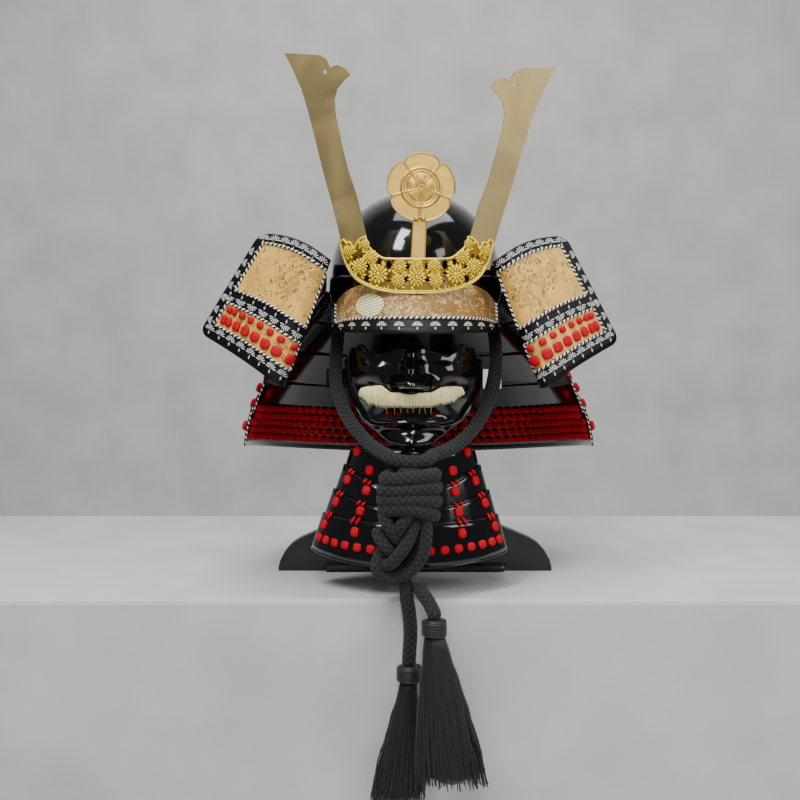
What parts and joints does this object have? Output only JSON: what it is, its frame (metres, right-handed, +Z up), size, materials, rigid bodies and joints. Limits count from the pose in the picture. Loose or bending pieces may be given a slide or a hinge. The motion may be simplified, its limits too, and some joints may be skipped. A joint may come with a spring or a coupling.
{
  "type": "samurai helmet with face mask on a wooden stand",
  "caption": "Lacquered samurai helmet with gilt crest and horns, face mask, throat guard and tasselled chin cord, shown on a plain black wooden stand.",
  "frame": {"origin": "middle of the helmet in plan, on the surface that the stand's foot rests on", "axes": "+Z up, the front of the helmet faces -Y, +X to the right as seen from the front"},
  "size_m": [0.4669, 0.4328, 0.8047],
  "materials": {
    "black_lacquer": "high gloss lacquer",
    "printed_leather": "gold printed leather with a black border",
    "gilt_metal": "bright gilt",
    "satin_brass": "satin",
    "red_lacing": "silk braid",
    "black_cord": "braided cord",
    "cream_hair": "straight hair",
    "black_wood": "satin black paint"
  },
  "bodies": {
    "root": {"bowl": "black_lacquer", "waist_band": "black_lacquer", "visor": "printed_leather", "neck_lame_1": "black_lacquer", "neck_lame_2": "black_lacquer", "neck_lame_3": "black_lacquer", "neck_lame_4": "black_lacquer", "neck_lame_5": "black_lacquer", "neck_lacing_1": "red_lacing", "neck_lacing_2": "red_lacing", "neck_lacing_3": "red_lacing", "neck_lacing_4": "red_lacing", "neck_lacing_5": "red_lacing", "wing_left": "printed_leather", "wing_right": "printed_leather", "crest_holder": "gilt_metal", "holder_pin": "gilt_metal", "crest": "gilt_metal", "crest_stem": "gilt_metal", "horn_left": "satin_brass", "horn_right": "satin_brass", "mask": "black_lacquer", "cheek_flange_left": "black_lacquer", "cheek_flange_right": "black_lacquer", "moustache": "cream_hair", "throat_lame_1": "black_lacquer", "throat_lame_2": "black_lacquer", "throat_lame_3": "black_lacquer", "throat_lame_4": "black_lacquer", "throat_lacing": "red_lacing", "chin_cord_left": "black_cord", "chin_cord_right": "black_cord", "knot_wrap": "black_cord", "knot_braid": "black_cord", "cord_end_left": "black_cord", "cord_end_right": "black_cord", "tassel_left": "black_cord", "tassel_right": "black_cord", "stand_foot": "black_wood", "stand_board": "black_wood", "stand_post": "black_wood", "stand_head": "black_wood", "stand_rest": "black_wood"}
  },
  "joints": []
}
